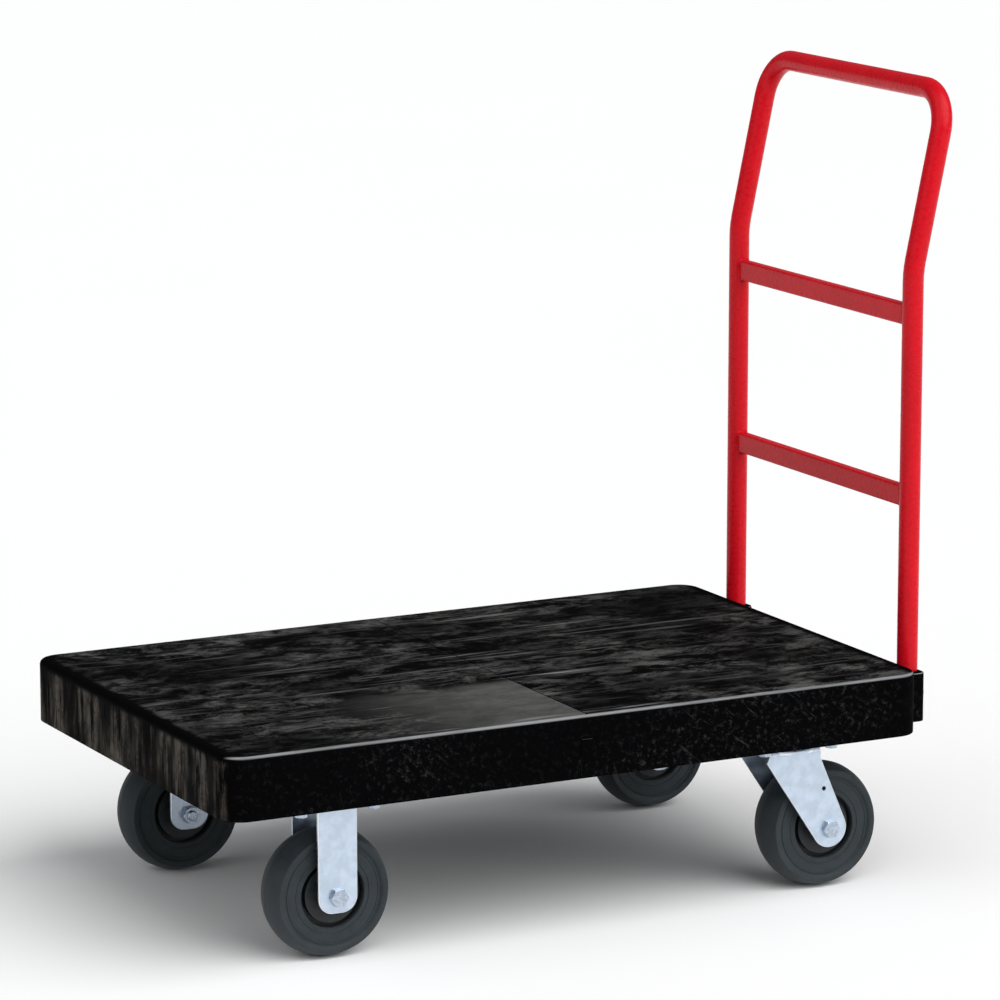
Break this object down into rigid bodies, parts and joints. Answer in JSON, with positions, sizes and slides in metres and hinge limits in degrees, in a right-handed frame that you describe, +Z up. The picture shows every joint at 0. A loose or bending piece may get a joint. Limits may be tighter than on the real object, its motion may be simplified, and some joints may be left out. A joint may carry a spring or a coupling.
{
  "type": "flatbed platform truck",
  "caption": "Four-wheeled flatbed truck with a moulded ribbed deck, a bolted raked push handle with crossbars, two rigid casters in front and two swivel casters under the handle.",
  "frame": {"origin": "on the floor under the centre of the whole truck's bounding box", "axes": "+X along the deck towards the push handle (rear), +Y to the right-hand side of the person who pushes, +Z up"},
  "size_m": [0.9982, 0.5734, 0.9649],
  "materials": {
    "deck_plastic": "black structural-foam moulding with lengthwise grey swirl",
    "red_enamel": "red gloss enamel on steel tube",
    "zinc_sheet": "bright zinc plate on pressed steel sheet",
    "zinc_plate": "bright zinc plate on steel fasteners",
    "bearing_steel": "ground hardened steel",
    "brass_insert": "turned brass",
    "tyre_rubber": "dark slate-grey moulded rubber",
    "hub_plastic": "dark grey moulded polyolefin"
  },
  "bodies": {
    "root": {"deck": "deck_plastic", "deck_ribs": "deck_plastic", "caster_pads": "deck_plastic", "caster_bosses": "deck_plastic", "handle_tube": "red_enamel", "lower_crossbar": "red_enamel", "upper_crossbar": "red_enamel", "crossbar_welds": "red_enamel", "handle_bolts": "zinc_plate", "handle_washers": "zinc_plate", "handle_nuts": "zinc_plate", "caster_bolts": "zinc_plate", "caster_washers": "zinc_plate", "threaded_inserts": "brass_insert", "rigid_plate_left": "zinc_sheet", "rigid_horn_left": "zinc_sheet", "swivel_plate_left": "zinc_sheet", "kingpin_left": "zinc_plate", "kingpin_nut_left": "zinc_plate", "race_cup_left": "bearing_steel", "axle_bolt_front_left": "zinc_plate", "axle_nut_front_left": "zinc_plate", "axle_sleeve_front_left": "bearing_steel", "thrust_washers_front_left": "bearing_steel", "rigid_plate_right": "zinc_sheet", "rigid_horn_right": "zinc_sheet", "swivel_plate_right": "zinc_sheet", "kingpin_right": "zinc_plate", "kingpin_nut_right": "zinc_plate", "race_cup_right": "bearing_steel", "axle_bolt_front_right": "zinc_plate", "axle_nut_front_right": "zinc_plate", "axle_sleeve_front_right": "bearing_steel", "thrust_washers_front_right": "bearing_steel"},
    "swivel_left": {"swivel_yoke_left": "zinc_sheet", "upper_balls_left": "bearing_steel", "lower_balls_left": "bearing_steel", "axle_bolt_rear_left": "zinc_plate", "axle_nut_rear_left": "zinc_plate", "axle_sleeve_rear_left": "bearing_steel", "thrust_washers_rear_left": "bearing_steel"},
    "swivel_right": {"swivel_yoke_right": "zinc_sheet", "upper_balls_right": "bearing_steel", "lower_balls_right": "bearing_steel", "axle_bolt_rear_right": "zinc_plate", "axle_nut_rear_right": "zinc_plate", "axle_sleeve_rear_right": "bearing_steel", "thrust_washers_rear_right": "bearing_steel"},
    "wheel_front_left": {"tyre_front_left": "tyre_rubber", "hub_front_left": "hub_plastic", "rollers_front_left": "bearing_steel"},
    "wheel_front_right": {"tyre_front_right": "tyre_rubber", "hub_front_right": "hub_plastic", "rollers_front_right": "bearing_steel"},
    "wheel_rear_left": {"tyre_rear_left": "tyre_rubber", "hub_rear_left": "hub_plastic", "rollers_rear_left": "bearing_steel"},
    "wheel_rear_right": {"tyre_rear_right": "tyre_rubber", "hub_rear_right": "hub_plastic", "rollers_rear_right": "bearing_steel"}
  },
  "joints": [
    {"name": "swivel_left_turn", "type": "hinge", "parent": "root", "child": "swivel_left", "pos_m": [0.26637, -0.2082, 0.18], "axis": [0, 0, 1], "continuous": true},
    {"name": "swivel_right_turn", "type": "hinge", "parent": "root", "child": "swivel_right", "pos_m": [0.26637, 0.2082, 0.18], "axis": [0, 0, 1], "continuous": true},
    {"name": "wheel_front_left_roll", "type": "hinge", "parent": "root", "child": "wheel_front_left", "pos_m": [-0.34323, -0.2082, 0.0762], "axis": [0, 1, 0], "continuous": true},
    {"name": "wheel_front_right_roll", "type": "hinge", "parent": "root", "child": "wheel_front_right", "pos_m": [-0.34323, 0.2082, 0.0762], "axis": [0, 1, 0], "continuous": true},
    {"name": "wheel_rear_left_roll", "type": "hinge", "parent": "swivel_left", "child": "wheel_rear_left", "pos_m": [0.31237, -0.2082, 0.0762], "axis": [0, 1, 0], "continuous": true},
    {"name": "wheel_rear_right_roll", "type": "hinge", "parent": "swivel_right", "child": "wheel_rear_right", "pos_m": [0.31237, 0.2082, 0.0762], "axis": [0, 1, 0], "continuous": true}
  ]
}
